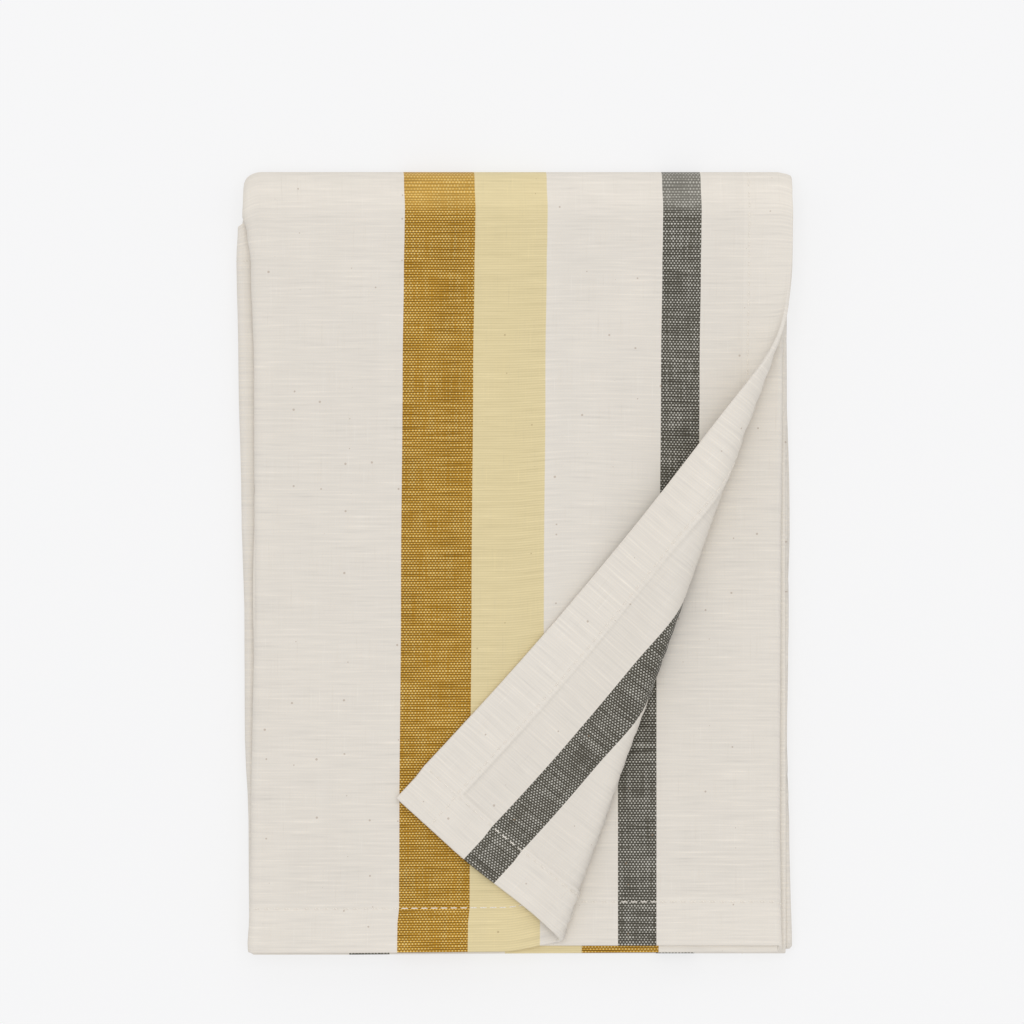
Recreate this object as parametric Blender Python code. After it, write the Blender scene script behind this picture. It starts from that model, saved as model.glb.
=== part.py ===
"""A striped cotton tea towel, folded in thirds across and then in thirds along, one corner turned back.

Metres, +Z up. The towel lies on z = 0 with its long sides along Y. Its first end is at -Y on top of the
pile, and the corner at +X of that end is rolled back towards the middle.

The cloth is one sheet. A point of it is followed through three steps: it is folded across (X), then along
(Y), and then, in the top layer only, rolled over the slanting line of the turned-back corner.
"""

import math

import bpy
import numpy as np

MM = 0.001

# The cloth, before it is folded
CLOTH_WIDTH = 486 * MM
CLOTH_LENGTH = 703 * MM
THICKNESS = 1.0 * MM
HEM = 15.0 * MM
HEM_STEP = 0.2 * MM  # run over which a hem's edge drops to the single cloth
HEM_EXTRA = 0.15 * MM  # what a hem adds, on the wrong side

# The pile: nine layers, from the middle of one layer to the middle of the next
PITCH = 1.4 * MM
FRONT_Y = -119.2 * MM  # the first end of the top layer
TOP_FOLD_Y = 113.2 * MM  # centre of the fold at +Y, which goes round five layers
BOTTOM_FOLD_Y = -116.0 * MM  # centre of the fold at -Y, hidden in the pile
PLUMP = 0.09  # how much thicker the pile is beside its top fold
PLUMP_RUN = 48 * MM
SHOULDER = 0.10  # how much lower it is again where it rounds into that fold
WAVE = 0.022  # unevenness of the pile, as a share of its height
WAVE_ACROSS, WAVE_ALONG, WAVE_SLANTED = 27 * MM, 39 * MM, 53 * MM

# The layers' first ends don't lie level
LAST_THIRD_BACK = 1.9 * MM  # the inner third ends this far behind the top one
MIDDLE_THIRD_OUT = 0.55 * MM  # the middle third ends this far in front, and more at -X
MIDDLE_TILT, MIDDLE_TILT_RUN = 0.35 * MM, 50 * MM
END_RIPPLE, END_RIPPLE_RUN = 0.3 * MM, 31 * MM
# Where the corner turns over, it draws the top layer's end back
END_LIFT = 3.0 * MM
LIFT_FROM, LIFT_PEAK, LIFT_TO = -4 * MM, 17 * MM, 60 * MM

# Both ends of the top fold are rounded off
FOLD_ENDS_RUN = 24 * MM
LEFT_ROUND_X, LEFT_ROUND_RUN, LEFT_ROUND = -77.5 * MM, 6.0 * MM, 3.2 * MM
RIGHT_ROUND_X, RIGHT_ROUND_RUN, RIGHT_ROUND = 80 * MM, 5 * MM, 1.4 * MM

# Where the two long folds and the free hemmed edge run, in mm, and how they wander along the cloth
SIDE_LINES = (
    # along, left fold, right fold, free edge
    (0, -79.7, 80.6, 82.7),
    (9, -79.3, 80.4, 82.8),
    (14, -79.1, 80.3, 83.3),
    (40, -78.6, 80.0, 83.4),
    (110, -77.6, 80.2, 83.9),
    (178, -77.8, 80.8, 84.4),
    (210, -78.7, 82.2, 84.8),
    (220, -79.8, 83.4, 85.0),
    (227, -81.3, 83.8, 85.1),
    (235, -81.0, 83.8, 84.8),
    (246, -80.6, 83.4, 83.8),
    (256, -81.8, 82.6, 83.0),
    (262, -83.1, 82.2, 82.6),
    (300, -82.5, 82.1, 82.5),
    (343, -81.6, 83.2, 82.6),
    (376, -80.7, 82.6, 82.6),
    (410, -80.6, 82.0, 82.6),
    (440, -79.4, 82.9, 83.0),
    (478, -79.3, 83.8, 83.0),
    (516, -79.5, 82.9, 83.0),
    (546, -80.7, 82.3, 82.9),
    (580, -80.8, 82.8, 82.8),
    (613, -81.7, 82.4, 82.7),
    (656, -82.6, 82.2, 82.6),
    (690, -83.2, 82.2, 82.6),
    (703, -82.8, 82.2, 82.6),
)

# The line that the corner turns over, from the first end to beyond the side edge, in mm
ROLL_LINE = (
    # y, x
    (-119.0, 13.9),
    (-50.0, 41.0),
    (20.0, 66.8),
    (90.0, 91.0),
)
# The roll along that line: size 1 is a loop of ROLL_HALF_TURN, and slip is cloth taken up under the flap
ROLL_SIZES = (
    # y in mm, size, slip in mm
    (-119.0, 0.40, 0.0),
    (-90.0, 0.62, 0.3),
    (-55.0, 0.90, 0.6),
    (20.0, 1.08, 0.8),
    (70.0, 0.95, 0.4),
)
ROLL_HALF_TURN = 10.5 * MM  # half the cloth in the full-size loop
ROLL_OVERTURN = math.radians(22)  # how far past flat the cloth turns before it settles
FLAP_GAP = PITCH + 0.2 * MM  # middle of the flap above the middle of the layer that it lies on
PROFILE_START, PROFILE_END, PROFILE_POINTS = -60 * MM, 260 * MM, 6401  # the cloth that makes the loop
SETTLE_LEAST, SETTLE_MOST = 5 * MM, 150 * MM  # the cloth over which the flap settles lies between these
HIDDEN_SHARE = 0.85  # how much of the flap's reach the taken-up cloth is spread over
LEAST_REACH = 8 * MM
ROLL_FADES, ROLL_GONE = 25 * MM, 5 * MM  # the roll fades out between these distances before the top fold

# How finely the sheet is cut up
HEM_COLUMNS = (0.0, 4.6 * MM, 9.2 * MM, HEM - HEM_STEP, HEM)
ROLL_COLUMNS = (52, 30, 17, 11, 7, 3.5, 0, -3.5, -7, -11, -17, -26)  # mm beyond the line
LEAST_COLUMN = 1.3 * MM  # the narrowest that these columns are squeezed to above the roll
ROLL_NARROWS = 126 * MM  # along the cloth, from where the roll crosses the side hem
ROLL_ENDS = 204 * MM
WIDE_ROLL_ROWS = 8
NARROW_ROLL_ROWS = 16
LEFT_ARC_STEPS = 6
RIGHT_ARC_STEPS = 4
TOP_ARC_STEPS = 8
BOTTOM_ARC_STEPS = 6


def eased(table, column, along):
    """Column of a table (mm) at `along` (metres), eased from each row to the next."""
    rows = np.array(table) * MM
    knots = rows[:, 0]
    place = np.clip(np.searchsorted(knots, along) - 1, 0, len(knots) - 2)
    share = np.clip((along - knots[place]) / (knots[place + 1] - knots[place]), 0, 1)
    share = share * share * (3 - 2 * share)
    return rows[place, column] * (1 - share) + rows[place + 1, column] * share


def smooth_step(value, low, high):
    share = np.clip((value - low) / (high - low), 0, 1)
    return share * share * (3 - 2 * share)


# Panels are joined by arcs. These are the places along the cloth, at its middle layer, where each begins
TOP_ARC = TOP_FOLD_Y - FRONT_Y
SECOND_PANEL = TOP_ARC + math.pi * 3 * PITCH
BOTTOM_ARC = SECOND_PANEL + TOP_FOLD_Y - BOTTOM_FOLD_Y
THIRD_PANEL = BOTTOM_ARC + math.pi * 1.5 * PITCH


def roll_line(y):
    """x of the roll's line at y, and its slope dx/dy, from the parabola that fits the rows best."""
    rows = np.array(ROLL_LINE) * MM
    curve = np.polyfit(rows[:, 0], rows[:, 1], 2)
    return np.polyval(curve, y), np.polyval(np.polyder(curve), y)


def roll_profile():
    """The loop in cross-section at full size: how far along the cloth, how far out, and how high.

    The cloth's direction turns by half a circle and a little more, and then eases back to flat. The second
    turn is as long as it takes for the cloth to come down to the height it left from.
    """
    along = np.linspace(PROFILE_START, PROFILE_END, PROFILE_POINTS)
    step = along[1] - along[0]
    turn = (math.pi + ROLL_OVERTURN) * smooth_step(along, -ROLL_HALF_TURN, ROLL_HALF_TURN)

    def end_height(run):
        back = ROLL_OVERTURN * smooth_step(along, ROLL_HALF_TURN, ROLL_HALF_TURN + run)
        return np.sum(np.sin(turn - back)) * step

    short, long = SETTLE_LEAST, SETTLE_MOST
    for _ in range(40):
        middle = (short + long) / 2
        if end_height(middle) > 0:
            short = middle
        else:
            long = middle
    angle = turn - ROLL_OVERTURN * smooth_step(along, ROLL_HALF_TURN, ROLL_HALF_TURN + short)
    out = along[0] + np.cumsum(np.cos(angle)) * step
    high = np.cumsum(np.sin(angle)) * step
    return along, out, high


def rolled(x, y):
    """Where points of the flat top layer go when the corner is turned back, and how far they rise."""
    foot = y.copy()
    for _ in range(12):
        line_x, slope = roll_line(foot)
        foot = y + (x - line_x) * slope
    line_x, slope = roll_line(foot)
    across = np.hypot(1, slope)
    normal_x, normal_y = 1 / across, -slope / across
    beyond = (x - line_x) * normal_x + (y - foot) * normal_y

    size = eased(ROLL_SIZES, 1, foot) / MM
    slip = eased(ROLL_SIZES, 2, foot)
    along, out, high = roll_profile()
    # A sharp fold that lays the flap in the same place would be this far along the loop
    sharp = (along[-1] + out[-1]) / 2
    corner_x = eased(SIDE_LINES, 3, np.clip(y - FRONT_Y, 0, None))
    flap_reach = np.maximum((corner_x - line_x) * across / (1 + slope**2), LEAST_REACH)
    hidden = smooth_step(beyond, -HIDDEN_SHARE * flap_reach, -2 * MM)
    cloth = beyond + size * sharp + slip * (1 - 2 * hidden)
    reach = np.interp(cloth / size, along, out)
    # Past the end of the tabled loop the cloth goes on flat
    reach = size * reach - size * sharp - slip
    rise = size * np.interp(cloth / size, along, high)
    rise = rise + FLAP_GAP * smooth_step(cloth / size, -0.5 * ROLL_HALF_TURN, ROLL_HALF_TURN)
    start = cloth / size < along[0]
    reach = np.where(start, beyond, reach)
    rise = np.where(start, 0, rise)
    return line_x + reach * normal_x, foot + reach * normal_y, rise


def row_stations():
    """Distances along the cloth at which the sheet is cut, at its middle layer."""
    first = [0.0, HEM / 2, HEM - HEM_STEP, HEM]
    first += list(np.linspace(HEM, ROLL_NARROWS, WIDE_ROLL_ROWS + 1)[1:])
    first += list(np.linspace(ROLL_NARROWS, ROLL_ENDS, NARROW_ROLL_ROWS + 1)[1:])
    first += [212 * MM, 220 * MM, 227 * MM]  # where the two long folds swing out beside the top fold
    top = list(np.linspace(TOP_ARC, SECOND_PANEL, TOP_ARC_STEPS + 1))
    second = [252 * MM, 256 * MM, 262 * MM, 300 * MM, 340 * MM, 410 * MM, 440 * MM]
    bottom = list(np.linspace(BOTTOM_ARC, THIRD_PANEL, BOTTOM_ARC_STEPS + 1))
    third = [540 * MM, 610 * MM, CLOTH_LENGTH - HEM, CLOTH_LENGTH - HEM + HEM_STEP, CLOTH_LENGTH]
    return np.array(first + top + second + bottom + third)


def folded_across(along):
    """x, offset from the middle layer, and distance from the free edge, for every row and column.

    The top third runs from the free edge to the left fold, the lowest third back to the right fold, and
    the middle third lies between them.
    """
    left = eased(SIDE_LINES, 1, along)
    right = eased(SIDE_LINES, 2, along)
    free = eased(SIDE_LINES, 3, along)
    columns = []

    def add(x, offset, across):
        columns.append((x, offset + 0 * along, across))

    for across in HEM_COLUMNS:
        add(free - across, PITCH, across + 0 * along)
    line_x, slope = roll_line(FRONT_Y + np.minimum(along, TOP_ARC))
    for count, beyond in enumerate(ROLL_COLUMNS):
        wanted = free - line_x - beyond * MM * np.hypot(1, slope)
        across = np.maximum(wanted, HEM + (count + 1) * LEAST_COLUMN)
        add(free - across, PITCH, across)
    last = columns[-1][2]
    for share in (0.3, 0.6, 0.86, 0.96):
        across = last + share * (free - left - last)
        add(free - across, PITCH, across)
    start = free - left
    for angle in np.linspace(0, math.pi, LEFT_ARC_STEPS + 1):
        add(left - PITCH * np.sin(angle), PITCH * np.cos(angle), start + PITCH * angle)
    start = start + math.pi * PITCH
    for share in (0.04, 0.35, 0.65, 0.96):
        add(left + share * (right - left), -PITCH, start + share * (right - left))
    start = start + right - left
    radius = PITCH / 2
    for angle in np.linspace(0, math.pi, RIGHT_ARC_STEPS + 1):
        add(right + radius * np.sin(angle), -radius - radius * np.cos(angle), start + radius * angle)
    start = start + math.pi * radius
    inner = CLOTH_WIDTH - HEM
    for share in (0.25, 0.5, 0.75, 1):
        across = start + share * (inner - start)
        add(right - (across - start), 0, across)
    for across in (inner + HEM_STEP, CLOTH_WIDTH - HEM / 2, CLOTH_WIDTH):
        add(right - (across - start), 0, across + 0 * along)
    return tuple(np.array(part) for part in zip(*columns))


def folded_along(along, x, offset):
    """y and height of each point once the three panels are folded over one another."""
    lift = smooth_step(x, LIFT_FROM, LIFT_PEAK) * (1 - smooth_step(x, LIFT_PEAK, LIFT_TO))
    top_end = END_RIPPLE * np.sin(x / END_RIPPLE_RUN + 0.6) + END_LIFT * lift
    middle_end = MIDDLE_TILT * np.clip(x / MIDDLE_TILT_RUN, -1, 1) - MIDDLE_THIRD_OUT
    end_shift = top_end * np.clip(offset / PITCH, 0, 1) + middle_end * np.clip(-offset / PITCH, 0, 1)
    end_shift = end_shift + np.where(offset > 0, 0.0, LAST_THIRD_BACK) * (1 - np.abs(offset) / PITCH)
    end_shift = end_shift * np.clip(1 - along / TOP_ARC, 0, 1)

    top_angle = np.clip((along - TOP_ARC) / (3 * PITCH), 0, math.pi)
    low_angle = np.clip((along - BOTTOM_ARC) / (1.5 * PITCH), 0, math.pi)
    top_reach = (3 * PITCH + offset) * np.sin(top_angle)
    low_reach = (1.5 * PITCH + offset) * np.sin(low_angle)

    y = FRONT_Y + along + end_shift
    y = np.where(along > TOP_ARC, TOP_FOLD_Y + top_reach, y)
    y = np.where(along > SECOND_PANEL, TOP_FOLD_Y - (along - SECOND_PANEL), y)
    y = np.where(along > BOTTOM_ARC, BOTTOM_FOLD_Y - low_reach, y)
    y = np.where(along > THIRD_PANEL, BOTTOM_FOLD_Y + (along - THIRD_PANEL), y)

    z = 7 * PITCH + offset
    z = np.where(along > TOP_ARC, 4 * PITCH + (3 * PITCH + offset) * np.cos(top_angle), z)
    z = np.where(along > BOTTOM_ARC, 2.5 * PITCH - (1.5 * PITCH + offset) * np.cos(low_angle), z)

    # The ends of the top fold are rounded, the left one more than the right
    near_top = smooth_step(y, TOP_FOLD_Y - FOLD_ENDS_RUN, TOP_FOLD_Y)
    left_end = np.clip((LEFT_ROUND_X - x) / LEFT_ROUND_RUN, 0, None)
    right_end = np.clip((x - RIGHT_ROUND_X) / RIGHT_ROUND_RUN, 0, None)
    y = y - near_top * (LEFT_ROUND * left_end**2 + RIGHT_ROUND * right_end**2)
    return y, z


def uneven(x, y):
    """How much the pile stands above its pressed height: more beside the top fold, and in soft waves."""
    fold = PLUMP * smooth_step(y, TOP_FOLD_Y - PLUMP_RUN, TOP_FOLD_Y - 14 * MM)
    shoulder = SHOULDER * smooth_step(y, TOP_FOLD_Y - 12 * MM, TOP_FOLD_Y + 6 * MM)
    waves = 2 + np.sin(x / WAVE_ACROSS + 1.1) * np.cos(y / WAVE_ALONG) + np.sin((x + 1.6 * y) / WAVE_SLANTED)
    return 1 + fold - shoulder + WAVE * waves


def cloth_points():
    """The middle surface of the folded cloth, as a grid of points, and where each is on the flat cloth."""
    rows = row_stations()
    x, offset, across = folded_across(rows)
    along = np.broadcast_to(rows, x.shape)
    y, z = folded_along(along, x, offset)
    turned_x, turned_y, rise = rolled(x, y)
    top = (offset > 0.999 * PITCH) & (along <= TOP_ARC)
    blend = top * (1 - smooth_step(along, TOP_ARC - ROLL_FADES, TOP_ARC - ROLL_GONE))
    x = x + blend * (turned_x - x)
    y = y + blend * (turned_y - y)
    z = z * uneven(x, y) + blend * rise + THICKNESS / 2
    return np.stack((x, y, z), axis=-1), across, along


def cloth_sides(points, across, along):
    """The right and the wrong side of the cloth, half its thickness from the middle; hems are thicker."""
    over = np.gradient(points, axis=0)
    up = np.gradient(points, axis=1)
    normal = np.cross(up, over)
    normal /= np.linalg.norm(normal, axis=-1, keepdims=True)
    edge = np.minimum.reduce((across, CLOTH_WIDTH - across, along, CLOTH_LENGTH - along))
    wrong = THICKNESS / 2 + HEM_EXTRA * (edge < HEM - HEM_STEP / 2)
    return points + normal * THICKNESS / 2, points - normal * wrong[..., None]


def closed_sheet(right, wrong):
    """Vertices and faces of the solid between the two sides."""
    wide, long = right.shape[:2]
    index = np.arange(wide * long).reshape(wide, long)
    other = index + wide * long

    def quads(grid):
        corners = (grid[:-1, :-1], grid[1:, :-1], grid[1:, 1:], grid[:-1, 1:])
        return np.stack(corners, axis=-1).reshape(-1, 4)

    rim = np.concatenate((index[:, 0], index[-1, 1:], index[-2::-1, -1], index[0, -2:0:-1]))
    after = np.roll(rim, -1)
    walls = np.stack((rim, rim + wide * long, after + wide * long, after), axis=-1)
    faces = np.concatenate((quads(index), quads(other)[:, ::-1], walls))
    return np.concatenate((right.reshape(-1, 3), wrong.reshape(-1, 3))), faces


def outward(vertices, faces):
    """The faces turned round if they enclose a negative volume."""
    a, b, c, d = (vertices[faces[:, k]] for k in range(4))
    volume = np.sum(np.cross(a, b) * c) + np.sum(np.cross(a, c) * d)
    return faces if volume > 0 else faces[:, ::-1]


def cotton():
    material = bpy.data.materials.new("woven_cotton")
    material.use_nodes = True
    shader = material.node_tree.nodes["Principled BSDF"]
    shader.inputs["Base Color"].default_value = (0.73, 0.69, 0.62, 1)
    shader.inputs["Roughness"].default_value = 0.9
    return material


def tea_towel():
    points, across, along = cloth_points()
    vertices, faces = closed_sheet(*cloth_sides(points, across, along))
    vertices[:, :2] -= (vertices[:, :2].min(axis=0) + vertices[:, :2].max(axis=0)) / 2
    mesh = bpy.data.meshes.new("tea_towel")
    mesh.from_pydata(vertices.tolist(), [], outward(vertices, faces).tolist())
    mesh.validate()
    mesh.shade_smooth()
    mesh.set_sharp_from_angle(angle=math.radians(40))
    mesh.materials.append(cotton())
    towel = bpy.data.objects.new("tea_towel", mesh)
    bpy.context.scene.collection.objects.link(towel)


for thing in list(bpy.data.objects):
    bpy.data.objects.remove(thing, do_unlink=True)
tea_towel()
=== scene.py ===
"""A folded tea towel: how its cloth, hems, stitches and woven stripes are made in Blender.

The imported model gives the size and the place. Lengths are in metres unless a comment says mm, +Z is up,
and the towel lies on z = 0 with its long sides along Y.
"""

# %% [markdown]
# # A tea towel, folded, with one corner turned back
#
# The real thing is one piece of yarn-dyed cotton, 48.6 by 70.3 cm, with a narrow hem sewn round it.
# It is folded in thirds across and in thirds along, so that it lies in nine layers. One corner of
# the top layer is rolled back, which shows the wrong side of the cloth and its hems.
#
# Cloth can be draped by a simulation, but a towel folded by hand is a set of flat panels joined by
# tight turns. Formulas give these more exactly. So the whole towel is one function: it takes a
# point of the flat cloth and says where that point lies in the folded towel. The mesh and the
# stitches both ask it.

# %% Load the frame
import math

import bpy
import numpy as np
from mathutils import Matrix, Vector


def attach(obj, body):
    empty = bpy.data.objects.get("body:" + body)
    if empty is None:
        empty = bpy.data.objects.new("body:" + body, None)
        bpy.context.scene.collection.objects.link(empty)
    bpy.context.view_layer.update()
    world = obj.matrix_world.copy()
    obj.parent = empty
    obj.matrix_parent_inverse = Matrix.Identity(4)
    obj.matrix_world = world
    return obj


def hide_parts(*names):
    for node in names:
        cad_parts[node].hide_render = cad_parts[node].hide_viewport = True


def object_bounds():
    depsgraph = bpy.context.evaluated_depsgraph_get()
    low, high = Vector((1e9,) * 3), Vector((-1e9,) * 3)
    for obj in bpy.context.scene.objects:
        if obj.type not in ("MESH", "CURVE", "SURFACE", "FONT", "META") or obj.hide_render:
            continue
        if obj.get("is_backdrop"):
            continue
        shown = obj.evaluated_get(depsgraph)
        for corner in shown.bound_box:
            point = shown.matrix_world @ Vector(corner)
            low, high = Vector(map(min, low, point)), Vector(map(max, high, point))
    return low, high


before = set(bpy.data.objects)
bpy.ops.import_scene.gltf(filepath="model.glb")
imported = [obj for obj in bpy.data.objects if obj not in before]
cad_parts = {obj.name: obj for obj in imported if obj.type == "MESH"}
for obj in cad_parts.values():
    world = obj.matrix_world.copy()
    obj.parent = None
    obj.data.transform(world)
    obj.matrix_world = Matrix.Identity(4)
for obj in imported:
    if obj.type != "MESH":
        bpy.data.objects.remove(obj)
cad_low, cad_high = (np.array(corner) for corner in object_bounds())
MM = 0.001
print("CAD box in mm:", np.round(cad_low / MM, 1), np.round(cad_high / MM, 1))

# %% [markdown]
# ## Sizes
#
# The cloth's own sizes come first, then the lines that its folds follow. No hand folds a towel
# exactly, so the folds wander by a few millimetres along the cloth. A short table holds that
# wander, and a smooth curve is drawn through its rows.

# %% The cloth and its folds
CLOTH_WIDTH = 486 * MM
CLOTH_LENGTH = 703 * MM
THICKNESS = 1.0 * MM
PITCH = 1.4 * MM  # from one layer of the pile to the next
FRONT_Y = -119.2 * MM  # the first end of the top layer
TOP_FOLD_Y = 113.2 * MM  # centre of the fold at +Y, which goes round five layers
BOTTOM_FOLD_Y = -116.0 * MM  # centre of the fold at -Y, hidden in the pile

SIDE_LINES = (
    # along, left fold, right fold, free edge, in mm
    (0, -79.7, 80.6, 82.7),
    (9, -79.3, 80.4, 82.8),
    (14, -79.1, 80.3, 83.3),
    (40, -78.6, 80.0, 83.4),
    (110, -77.6, 80.2, 83.9),
    (178, -77.8, 80.8, 84.4),
    (210, -78.7, 82.2, 84.8),
    (220, -79.8, 83.4, 85.0),
    (227, -81.3, 83.8, 85.1),
    (235, -81.0, 83.8, 84.8),
    (246, -80.6, 83.4, 83.8),
    (256, -81.8, 82.6, 83.0),
    (262, -83.1, 82.2, 82.6),
    (300, -82.5, 82.1, 82.5),
    (343, -81.6, 83.2, 82.6),
    (376, -80.7, 82.6, 82.6),
    (410, -80.6, 82.0, 82.6),
    (440, -79.4, 82.9, 83.0),
    (478, -79.3, 83.8, 83.0),
    (516, -79.5, 82.9, 83.0),
    (546, -80.7, 82.3, 82.9),
    (580, -80.8, 82.8, 82.8),
    (613, -81.7, 82.4, 82.7),
    (656, -82.6, 82.2, 82.6),
    (690, -83.2, 82.2, 82.6),
    (703, -82.8, 82.2, 82.6),
)
LEFT_FOLD, RIGHT_FOLD, FREE_EDGE = 1, 2, 3


def smooth_step(value, low, high):
    """0 below low, 1 above high, and between them 3s^2 - 2s^3 of the share s of the way."""
    share = np.clip((value - low) / (high - low), 0, 1)
    return share * share * (3 - 2 * share)


def eased(table, column, place):
    """A column of a table in mm, read at `place` in metres, and eased from each row to the next."""
    rows = np.array(table) * MM
    row = np.clip(np.searchsorted(rows[:, 0], place) - 1, 0, len(rows) - 2)
    share = smooth_step(place, rows[row, 0], rows[row + 1, 0])
    return rows[row, column] * (1 - share) + rows[row + 1, column] * share


def fold_lines(along):
    """x of the left fold, the right fold and the free edge, at distances from the first end."""
    return (eased(SIDE_LINES, column, along) for column in (LEFT_FOLD, RIGHT_FOLD, FREE_EDGE))


print("cloth", CLOTH_WIDTH, "x", CLOTH_LENGTH, "m, folds read from", len(SIDE_LINES), "rows")

# %% [markdown]
# ## Folding across
#
# The top third runs from the free edge to the left fold, the middle third comes back to the right
# fold, and the last third turns in between the two. In cross-section that is three straight runs
# and two half circles. Arrays are faster than loops, so each run is worked out for all points at
# once, and `np.select` keeps the one that each point is on.

# %% Thirds across


def folded_across(across, along):
    """x and height above the packet's middle, for distances from the free edge and from the first end.

    On a straight run x moves as far as the cloth does. On a half circle of radius r it is the fold line
    plus or minus r sin(a), and the height is r cos(a), where a is the distance round the bend over r.
    """
    left, right, free = fold_lines(along)
    radius = PITCH / 2  # of the right fold, which goes round nothing
    left_bend = free - left
    middle = left_bend + math.pi * PITCH
    right_bend = middle + right - left
    last = right_bend + math.pi * radius
    left_angle = (across - left_bend) / PITCH
    right_angle = (across - right_bend) / radius
    on = [across < left_bend, across < middle, across < right_bend, across < last]
    x = np.select(
        on,
        [
            free - across,
            left - PITCH * np.sin(left_angle),
            left + across - middle,
            right + radius * np.sin(right_angle),
        ],
        right - (across - last),
    )
    offset = np.select(
        on,
        [
            PITCH + 0 * across,
            PITCH * np.cos(left_angle),
            -PITCH + 0 * across,
            -radius * (1 + np.cos(right_angle)),
        ],
        0,
    )
    return x, offset


def yarn_place(across, along):
    """How far the nearest warp yarn is from the free edge. Where a fold line wanders, the yarns don't."""
    left, right, free = fold_lines(along)
    left0, right0, free0 = fold_lines(np.zeros_like(along))
    middle_shift = (free0 - 2 * left0) - (free - 2 * left)
    last_shift = middle_shift + 2 * right0 - 2 * right
    left_bend = free - left
    right_bend = left_bend + math.pi * PITCH + right - left
    past_left = smooth_step(across, left_bend, left_bend + math.pi * PITCH)
    past_right = smooth_step(across, right_bend, right_bend + math.pi * PITCH / 2)
    return across + middle_shift * past_left + (last_shift - middle_shift) * past_right


test = folded_across(np.linspace(0, CLOTH_WIDTH, 5), np.zeros(5))[0]
print("x of five points across, in mm:", np.round(test / MM, 1))

# %% [markdown]
# ## Folding along
#
# The packet of three layers is folded again, in thirds along its length: over the fold at +Y to the
# bottom of the pile, and at -Y back up between the two. The two bends are half circles again, three
# pitches and one and a half pitches in radius.

# %% Thirds along
TOP_RADIUS = 3 * PITCH
BOTTOM_RADIUS = 1.5 * PITCH
# Distances along the cloth at which the bends and the next panels start
TOP_BEND = TOP_FOLD_Y - FRONT_Y
SECOND_PANEL = TOP_BEND + math.pi * TOP_RADIUS
BOTTOM_BEND = SECOND_PANEL + TOP_FOLD_Y - BOTTOM_FOLD_Y
THIRD_PANEL = BOTTOM_BEND + math.pi * BOTTOM_RADIUS
# Heights of the top packet's middle and of the fold centres, above the middle of the lowest layer
TOP_PACKET, TOP_FOLD_Z, BOTTOM_FOLD_Z = 7 * PITCH, 4 * PITCH, 2.5 * PITCH

LAST_THIRD_BACK = 1.9 * MM  # the inner third ends this far behind the top one
MIDDLE_THIRD_OUT = 0.55 * MM  # the middle third ends this far in front, and more at -X
MIDDLE_TILT, MIDDLE_TILT_RUN = 0.35 * MM, 50 * MM
END_RIPPLE, END_RIPPLE_RUN, END_RIPPLE_START = 0.3 * MM, 31 * MM, 0.6
# Where the corner turns over, it draws the top layer's end back
END_LIFT = 3.0 * MM
LIFT_FROM, LIFT_PEAK, LIFT_TO = -4 * MM, 17 * MM, 60 * MM

# Both ends of the top fold are rounded off
FOLD_ENDS_RUN = 24 * MM
LEFT_ROUND_X, LEFT_ROUND_RUN, LEFT_ROUND = -77.5 * MM, 6.0 * MM, 3.2 * MM
RIGHT_ROUND_X, RIGHT_ROUND_RUN, RIGHT_ROUND = 80 * MM, 5 * MM, 1.4 * MM


def end_slip(along, x, offset):
    """How far a layer's end lies behind the line of the first end, fading to nothing at the top fold.

    The middle third's end is tilted. The top one's ripples, and is drawn back where the corner turns.
    """
    lift = smooth_step(x, LIFT_FROM, LIFT_PEAK) * (1 - smooth_step(x, LIFT_PEAK, LIFT_TO))
    top_end = END_RIPPLE * np.sin(x / END_RIPPLE_RUN + END_RIPPLE_START) + END_LIFT * lift
    middle_end = MIDDLE_TILT * np.clip(x / MIDDLE_TILT_RUN, -1, 1) - MIDDLE_THIRD_OUT
    slip = top_end * np.clip(offset / PITCH, 0, 1) + middle_end * np.clip(-offset / PITCH, 0, 1)
    slip += np.where(offset > 0, 0.0, LAST_THIRD_BACK) * (1 - np.abs(offset) / PITCH)
    return slip * np.clip(1 - along / TOP_BEND, 0, 1)


def folded_along(along, x, offset):
    """y and height of the cloth's middle: straight panels, and half circles about the two fold centres.

    A point that lies `offset` outside its packet's middle goes round a bend at a radius larger by that.
    """
    top_angle = np.clip((along - TOP_BEND) / TOP_RADIUS, 0, math.pi)
    low_angle = np.clip((along - BOTTOM_BEND) / BOTTOM_RADIUS, 0, math.pi)
    on = [along > THIRD_PANEL, along > BOTTOM_BEND, along > SECOND_PANEL, along > TOP_BEND]
    y = np.select(
        on,
        [
            BOTTOM_FOLD_Y + along - THIRD_PANEL,
            BOTTOM_FOLD_Y - (BOTTOM_RADIUS + offset) * np.sin(low_angle),
            TOP_FOLD_Y - (along - SECOND_PANEL),
            TOP_FOLD_Y + (TOP_RADIUS + offset) * np.sin(top_angle),
        ],
        FRONT_Y + along + end_slip(along, x, offset),
    )
    low = BOTTOM_FOLD_Z - (BOTTOM_RADIUS + offset) * np.cos(low_angle)
    top = TOP_FOLD_Z + (TOP_RADIUS + offset) * np.cos(top_angle)
    z = np.select([along > BOTTOM_BEND, along > TOP_BEND], [low, top], TOP_PACKET + offset)
    near_top = smooth_step(y, TOP_FOLD_Y - FOLD_ENDS_RUN, TOP_FOLD_Y)
    left_end = np.clip((LEFT_ROUND_X - x) / LEFT_ROUND_RUN, 0, None)
    right_end = np.clip((x - RIGHT_ROUND_X) / RIGHT_ROUND_RUN, 0, None)
    y = y - near_top * (LEFT_ROUND * left_end**2 + RIGHT_ROUND * right_end**2)
    return y, z


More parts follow.
